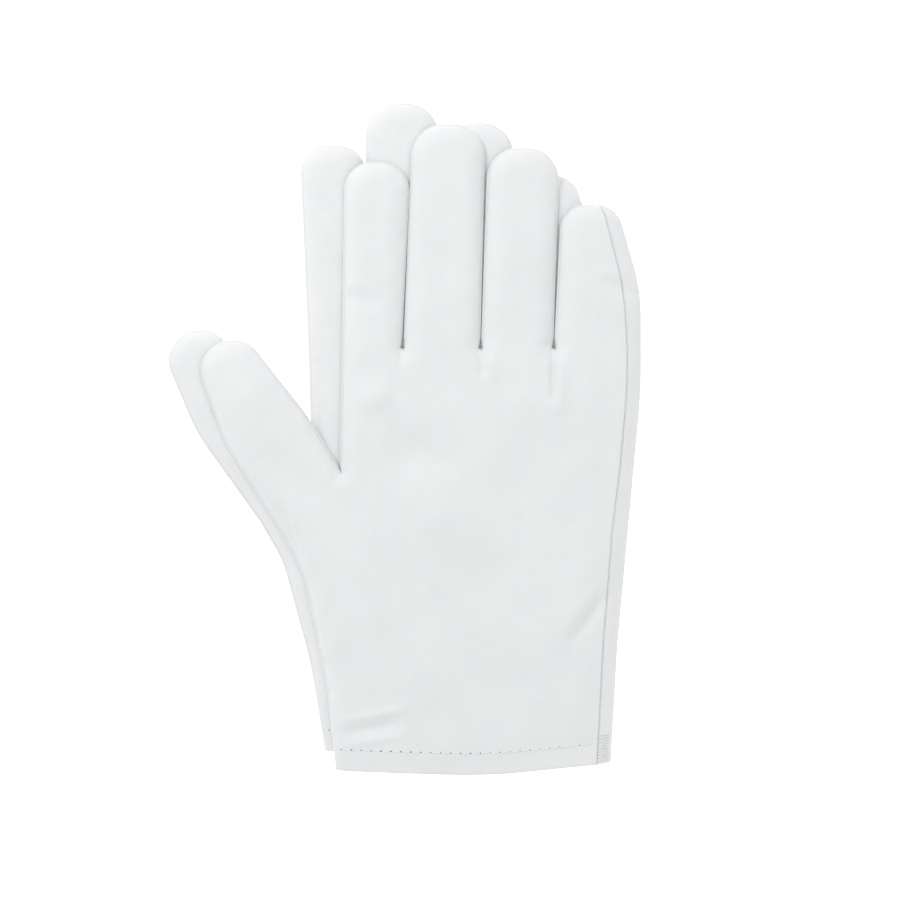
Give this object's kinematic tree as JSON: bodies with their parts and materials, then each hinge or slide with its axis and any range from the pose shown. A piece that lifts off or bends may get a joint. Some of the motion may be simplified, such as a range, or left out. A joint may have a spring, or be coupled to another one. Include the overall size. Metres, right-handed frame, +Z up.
{
  "type": "pair of cloth gloves",
  "caption": "Pair of thin white knitted gloves lying flat, one on the other, with folding fingers and open cuffs.",
  "frame": {"origin": "on the surface that the pair lies on, under the middle of the pair's box", "axes": "+Z up from that surface, +Y along the fingers, +X towards the little fingers, away from the thumbs"},
  "size_m": [0.1714, 0.2438, 0.0139],
  "materials": {
    "knit_cloth": "plain white fine knit",
    "fourchette_cloth": "plain white fine knit strip",
    "sewing_thread": "white polyester thread"
  },
  "bodies": {
    "right_glove": {"right_palm_panel": "knit_cloth", "right_back_panel": "knit_cloth", "right_palm_hem": "knit_cloth", "right_back_hem": "knit_cloth", "right_hem_stitching": "sewing_thread", "right_thumb_side_edge": "knit_cloth", "right_thumb_crotch": "fourchette_cloth", "right_index_middle_fourchette": "fourchette_cloth", "right_middle_ring_fourchette": "fourchette_cloth", "right_ring_little_fourchette": "fourchette_cloth", "right_little_side_edge": "knit_cloth", "right_corner_tack": "sewing_thread"},
    "right_thumb": {"right_thumb_palm_side": "knit_cloth", "right_thumb_back_side": "knit_cloth", "right_thumb_gusset": "fourchette_cloth"},
    "right_index": {"right_index_palm_side": "knit_cloth", "right_index_back_side": "knit_cloth", "right_index_fourchette": "fourchette_cloth", "right_index_edge": "knit_cloth"},
    "right_middle": {"right_middle_palm_side": "knit_cloth", "right_middle_back_side": "knit_cloth", "right_middle_fourchettes": "fourchette_cloth"},
    "right_ring": {"right_ring_palm_side": "knit_cloth", "right_ring_back_side": "knit_cloth", "right_ring_fourchettes": "fourchette_cloth"},
    "right_little": {"right_little_palm_side": "knit_cloth", "right_little_back_side": "knit_cloth", "right_little_fourchette": "fourchette_cloth", "right_little_edge": "knit_cloth"},
    "left_glove": {"left_palm_panel": "knit_cloth", "left_back_panel": "knit_cloth", "left_palm_hem": "knit_cloth", "left_back_hem": "knit_cloth", "left_hem_stitching": "sewing_thread", "left_thumb_side_edge": "knit_cloth", "left_thumb_crotch": "fourchette_cloth", "left_index_middle_fourchette": "fourchette_cloth", "left_middle_ring_fourchette": "fourchette_cloth", "left_ring_little_fourchette": "fourchette_cloth", "left_little_side_edge": "knit_cloth", "left_corner_tack": "sewing_thread"},
    "left_thumb": {"left_thumb_palm_side": "knit_cloth", "left_thumb_back_side": "knit_cloth", "left_thumb_gusset": "fourchette_cloth"},
    "left_index": {"left_index_palm_side": "knit_cloth", "left_index_back_side": "knit_cloth", "left_index_fourchette": "fourchette_cloth", "left_index_edge": "knit_cloth"},
    "left_middle": {"left_middle_palm_side": "knit_cloth", "left_middle_back_side": "knit_cloth", "left_middle_fourchettes": "fourchette_cloth"},
    "left_ring": {"left_ring_palm_side": "knit_cloth", "left_ring_back_side": "knit_cloth", "left_ring_fourchettes": "fourchette_cloth"},
    "left_little": {"left_little_palm_side": "knit_cloth", "left_little_back_side": "knit_cloth", "left_little_fourchette": "fourchette_cloth", "left_little_edge": "knit_cloth"}
  },
  "joints": [
    {"name": "left_glove_lift", "type": "slide", "parent": "right_glove", "child": "left_glove", "axis": [0, 0, 1], "range_m": [0, 0.12]},
    {"name": "left_thumb_flex", "type": "hinge", "parent": "left_glove", "child": "left_thumb", "pos_m": [-0.04168, -0.01141, 0.0137], "axis": [0.8526, 0.5225, 0], "range_deg": [0, 60]},
    {"name": "left_index_flex", "type": "hinge", "parent": "left_glove", "child": "left_index", "pos_m": [-0.01153, 0.03939, 0.0137], "axis": [1, 0, 0], "range_deg": [0, 90]},
    {"name": "left_middle_flex", "type": "hinge", "parent": "left_glove", "child": "left_middle", "pos_m": [0.01372, 0.03939, 0.0137], "axis": [1, 0, 0], "range_deg": [0, 90]},
    {"name": "left_ring_flex", "type": "hinge", "parent": "left_glove", "child": "left_ring", "pos_m": [0.04122, 0.03939, 0.0137], "axis": [1, 0, 0], "range_deg": [0, 90]},
    {"name": "left_little_flex", "type": "hinge", "parent": "left_glove", "child": "left_little", "pos_m": [0.07047, 0.03939, 0.0137], "axis": [1, 0, 0], "range_deg": [0, 90]},
    {"name": "right_thumb_flex", "type": "hinge", "parent": "right_glove", "child": "right_thumb", "pos_m": [-0.05203, -0.00626, 0], "axis": [-0.8221, -0.5693, 0], "range_deg": [0, 60]},
    {"name": "right_index_flex", "type": "hinge", "parent": "right_glove", "child": "right_index", "pos_m": [-0.02477, 0.04615, 0], "axis": [-0.9984, -0.0558, 0], "range_deg": [0, 90]},
    {"name": "right_middle_flex", "type": "hinge", "parent": "right_glove", "child": "right_middle", "pos_m": [0.00044, 0.04756, 0], "axis": [-0.9984, -0.0558, 0], "range_deg": [0, 90]},
    {"name": "right_ring_flex", "type": "hinge", "parent": "right_glove", "child": "right_ring", "pos_m": [0.0279, 0.04909, 0], "axis": [-0.9984, -0.0558, 0], "range_deg": [0, 90]},
    {"name": "right_little_flex", "type": "hinge", "parent": "right_glove", "child": "right_little", "pos_m": [0.05711, 0.05073, 0], "axis": [-0.9984, -0.0558, 0], "range_deg": [0, 90]}
  ]
}
